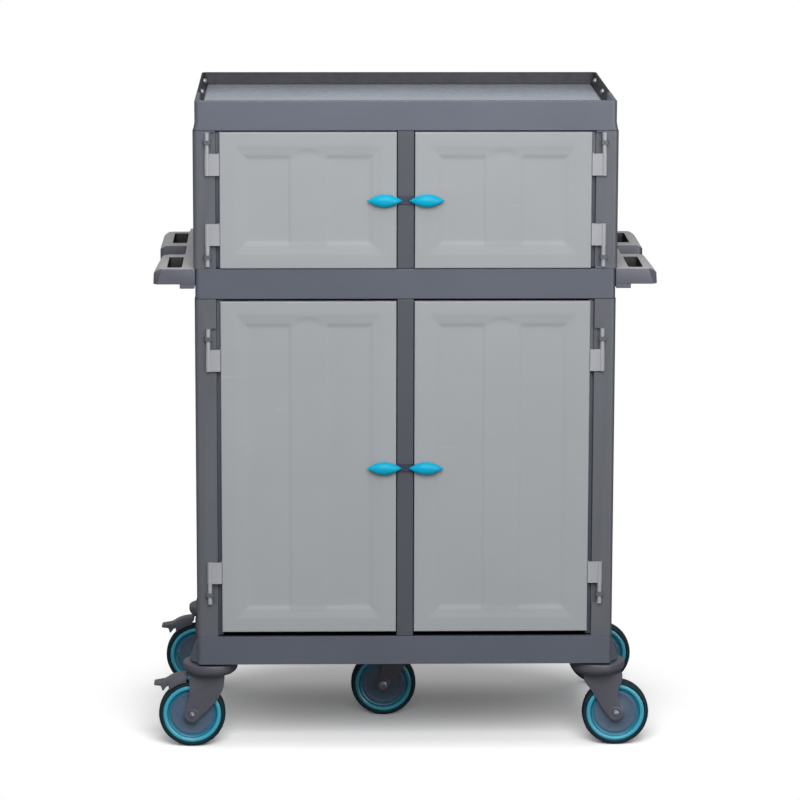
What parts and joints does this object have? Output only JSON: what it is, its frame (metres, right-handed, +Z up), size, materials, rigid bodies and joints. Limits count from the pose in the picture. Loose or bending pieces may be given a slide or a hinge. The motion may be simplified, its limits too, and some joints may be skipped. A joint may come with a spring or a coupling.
{
  "type": "housekeeping cart",
  "caption": "Two-tier plastic housekeeping cart: moulded hinged doors with turn knobs, tray top with a raised rim, end grab handles and swivel castors.",
  "frame": {"origin": "on the floor, below the middle of the cabinet body", "axes": "+Z up; the doors face -Y; the cart's length, between its end handles, runs along X"},
  "size_m": [1.1198, 0.6775, 1.4665],
  "materials": {
    "frame": "moulded plastic, satin with a fine grain",
    "frame_dark": "moulded plastic, satin",
    "deck": "moulded plastic, satin",
    "door": "moulded plastic, satin",
    "lug": "moulded plastic, satin",
    "turquoise": "moulded plastic, semi-gloss",
    "keeper": "moulded plastic, satin",
    "tyre": "matt rubber",
    "fork": "reinforced plastic, satin",
    "zinc": "zinc-plated steel",
    "handle": "moulded plastic, satin"
  },
  "bodies": {
    "cart": {"base_frame": "frame", "mid_frame": "frame", "top_frame": "frame", "tray_deck": "deck", "tray_gallery": "frame_dark", "post_upper_l": "frame", "post_upper_r": "frame", "post_lower_l": "frame", "post_lower_r": "frame", "side_upper_l": "frame", "side_upper_r": "frame", "side_lower_l": "frame", "side_lower_r": "frame", "back_upper": "frame", "back_lower": "frame", "stile_upper": "frame", "stile_lower": "frame", "shelf_lower": "deck", "handle_l": "handle", "handle_r": "handle", "keeper_upper": "keeper", "keeper_lower": "keeper"},
    "door_ul": {"door_ul": "door", "lug_ul_top": "lug", "lug_ul_low": "lug"},
    "knob_ul": {"knob_ul": "turquoise"},
    "door_ur": {"door_ur": "door", "lug_ur_top": "lug", "lug_ur_low": "lug"},
    "knob_ur": {"knob_ur": "turquoise"},
    "door_ll": {"door_ll": "door", "lug_ll_top": "lug", "lug_ll_low": "lug"},
    "knob_ll": {"knob_ll": "turquoise"},
    "door_lr": {"door_lr": "door", "lug_lr_top": "lug", "lug_lr_low": "lug"},
    "knob_lr": {"knob_lr": "turquoise"},
    "fork_fl": {"fork_fl": "fork", "axle_fl": "zinc"},
    "wheel_fl": {"rim_fl": "turquoise", "tyre_fl": "tyre"},
    "fork_fr": {"fork_fr": "fork", "axle_fr": "zinc"},
    "wheel_fr": {"rim_fr": "turquoise", "tyre_fr": "tyre"},
    "fork_rl": {"fork_rl": "fork", "axle_rl": "zinc"},
    "wheel_rl": {"rim_rl": "turquoise", "tyre_rl": "tyre"},
    "fork_rr": {"fork_rr": "fork", "axle_rr": "zinc"},
    "wheel_rr": {"rim_rr": "turquoise", "tyre_rr": "tyre"},
    "fork_mid": {"fork_mid": "fork", "axle_mid": "zinc"},
    "wheel_mid": {"rim_mid": "turquoise", "tyre_mid": "tyre"},
    "pedal_fl": {"pedal_fl": "fork"},
    "pedal_rl": {"pedal_rl": "fork"}
  },
  "joints": [
    {"name": "door_ul_hinge", "type": "hinge", "parent": "cart", "child": "door_ul", "pos_m": [-0.434, -0.317, 1.098], "axis": [0, 0, -1], "range_deg": [0, 175]},
    {"name": "knob_ul_turn", "type": "hinge", "parent": "door_ul", "child": "knob_ul", "pos_m": [-0.0465, -0.3163, 1.2485], "axis": [0, -1, 0], "range_deg": [0, 90]},
    {"name": "door_ur_hinge", "type": "hinge", "parent": "cart", "child": "door_ur", "pos_m": [0.434, -0.317, 1.098], "axis": [0, 0, 1], "range_deg": [0, 175]},
    {"name": "knob_ur_turn", "type": "hinge", "parent": "door_ur", "child": "knob_ur", "pos_m": [0.0465, -0.3163, 1.2485], "axis": [0, 1, 0], "range_deg": [0, 90]},
    {"name": "door_ll_hinge", "type": "hinge", "parent": "cart", "child": "door_ll", "pos_m": [-0.434, -0.317, 0.278], "axis": [0, 0, -1], "range_deg": [0, 175]},
    {"name": "knob_ll_turn", "type": "hinge", "parent": "door_ll", "child": "knob_ll", "pos_m": [-0.0465, -0.3163, 0.6515], "axis": [0, -1, 0], "range_deg": [0, 90]},
    {"name": "door_lr_hinge", "type": "hinge", "parent": "cart", "child": "door_lr", "pos_m": [0.434, -0.317, 0.278], "axis": [0, 0, 1], "range_deg": [0, 175]},
    {"name": "knob_lr_turn", "type": "hinge", "parent": "door_lr", "child": "knob_lr", "pos_m": [0.0465, -0.3163, 0.6515], "axis": [0, 1, 0], "range_deg": [0, 90]},
    {"name": "swivel_fl", "type": "hinge", "parent": "cart", "child": "fork_fl", "pos_m": [-0.436, -0.249, 0.19], "axis": [0, 0, 1], "continuous": true},
    {"name": "spin_fl", "type": "hinge", "parent": "fork_fl", "child": "wheel_fl", "pos_m": [-0.4776, -0.249, 0.075], "axis": [0, 1, 0], "continuous": true},
    {"name": "swivel_fr", "type": "hinge", "parent": "cart", "child": "fork_fr", "pos_m": [0.436, -0.249, 0.19], "axis": [0, 0, 1], "continuous": true},
    {"name": "spin_fr", "type": "hinge", "parent": "fork_fr", "child": "wheel_fr", "pos_m": [0.4776, -0.249, 0.075], "axis": [0, 1, 0], "continuous": true},
    {"name": "swivel_rl", "type": "hinge", "parent": "cart", "child": "fork_rl", "pos_m": [-0.438, 0.28, 0.19], "axis": [0, 0, 1], "continuous": true},
    {"name": "spin_rl", "type": "hinge", "parent": "fork_rl", "child": "wheel_rl", "pos_m": [-0.4796, 0.28, 0.075], "axis": [0, 1, 0], "continuous": true},
    {"name": "swivel_rr", "type": "hinge", "parent": "cart", "child": "fork_rr", "pos_m": [0.438, 0.28, 0.19], "axis": [0, 0, 1], "continuous": true},
    {"name": "spin_rr", "type": "hinge", "parent": "fork_rr", "child": "wheel_rr", "pos_m": [0.4796, 0.28, 0.075], "axis": [0, 1, 0], "continuous": true},
    {"name": "swivel_mid", "type": "hinge", "parent": "cart", "child": "fork_mid", "pos_m": [0, 0.01, 0.19], "axis": [0, 0, 1], "continuous": true},
    {"name": "spin_mid", "type": "hinge", "parent": "fork_mid", "child": "wheel_mid", "pos_m": [-0.0416, 0.01, 0.075], "axis": [0, 1, 0], "continuous": true},
    {"name": "pedal_fl_press", "type": "hinge", "parent": "fork_fl", "child": "pedal_fl", "pos_m": [-0.49, -0.249, 0.16], "axis": [0, -1, 0], "range_deg": [0, 8]},
    {"name": "pedal_rl_press", "type": "hinge", "parent": "fork_rl", "child": "pedal_rl", "pos_m": [-0.492, 0.28, 0.16], "axis": [0, -1, 0], "range_deg": [0, 8]}
  ]
}
